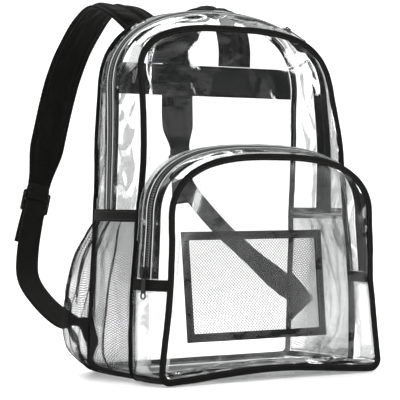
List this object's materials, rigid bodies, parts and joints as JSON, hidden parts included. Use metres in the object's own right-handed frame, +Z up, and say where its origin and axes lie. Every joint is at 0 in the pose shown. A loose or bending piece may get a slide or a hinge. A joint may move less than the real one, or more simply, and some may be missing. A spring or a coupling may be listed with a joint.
{
  "type": "clear stadium backpack",
  "caption": "Clear film backpack with black tape seams, arched zips, mesh side pockets, a mesh organiser and two padded shoulder straps, standing empty.",
  "frame": {"origin": "middle of the main compartment's flat base, on the surface it stands on", "axes": "+Z up, front pocket towards -Y, shoulder straps towards +Y, +X to the right seen from the front"},
  "size_m": [0.3936, 0.3176, 0.4582],
  "materials": {
    "film": "clear flexible film",
    "tape": "woven polyester tape",
    "mesh": "open knitted mesh",
    "webbing": "ribbed webbing",
    "padding": "padded woven cloth",
    "zip_teeth": "moulded coil",
    "lock_plastic": "moulded",
    "slider_metal": "black enamel"
  },
  "bodies": {
    "bag": {"back_panel": "film", "back_binding": "tape", "front_panel": "film", "front_binding": "tape", "bottom_panel": "film", "gusset_front_strip": "film", "main_zipper_front_tape": "tape", "main_zipper_coil": "zip_teeth", "main_zipper_back_tape": "tape", "gusset_back_strip": "film", "left_side_panel": "film", "left_bottom_binding": "tape", "right_side_panel": "film", "right_bottom_binding": "tape", "pocket_front_panel": "film", "pocket_binding": "tape", "pocket_bottom_panel": "film", "pocket_front_strip": "film", "pocket_zipper_front_tape": "tape", "pocket_zipper_coil": "zip_teeth", "pocket_zipper_rear_tape": "tape", "pocket_rear_strip": "film", "pocket_left_side_panel": "film", "pocket_left_end_patch": "tape", "pocket_left_bottom_binding": "tape", "pocket_right_side_panel": "film", "pocket_right_end_patch": "tape", "pocket_right_bottom_binding": "tape", "organiser_binding": "tape", "organiser_mesh": "mesh", "left_mesh_pocket": "mesh", "left_mesh_hem": "tape", "right_mesh_pocket": "mesh", "right_mesh_hem": "tape", "yoke_band": "webbing", "left_strap_pad": "padding", "left_ladder_lock": "lock_plastic", "left_lock_loop": "webbing", "left_webbing": "webbing", "left_anchor_tab": "webbing", "right_strap_pad": "padding", "right_ladder_lock": "lock_plastic", "right_lock_loop": "webbing", "right_webbing": "webbing", "right_anchor_tab": "webbing", "main_zipper_slider": "slider_metal", "pocket_zipper_slider": "slider_metal"},
    "main_pull": {"main_zipper_pull": "slider_metal"},
    "pocket_pull": {"pocket_zipper_pull": "slider_metal"}
  },
  "joints": [
    {"name": "main_pull_swing", "type": "hinge", "parent": "bag", "child": "main_pull", "pos_m": [0.10288, -0.00068, 0.42228], "axis": [-0.0885, -0.9825, -0.1639], "range_deg": [0, 170]},
    {"name": "pocket_pull_swing", "type": "hinge", "parent": "bag", "child": "pocket_pull", "pos_m": [-0.15834, -0.09428, 0.12732], "axis": [-0.248, 0.9686, 0.0156], "range_deg": [0, 170]}
  ]
}
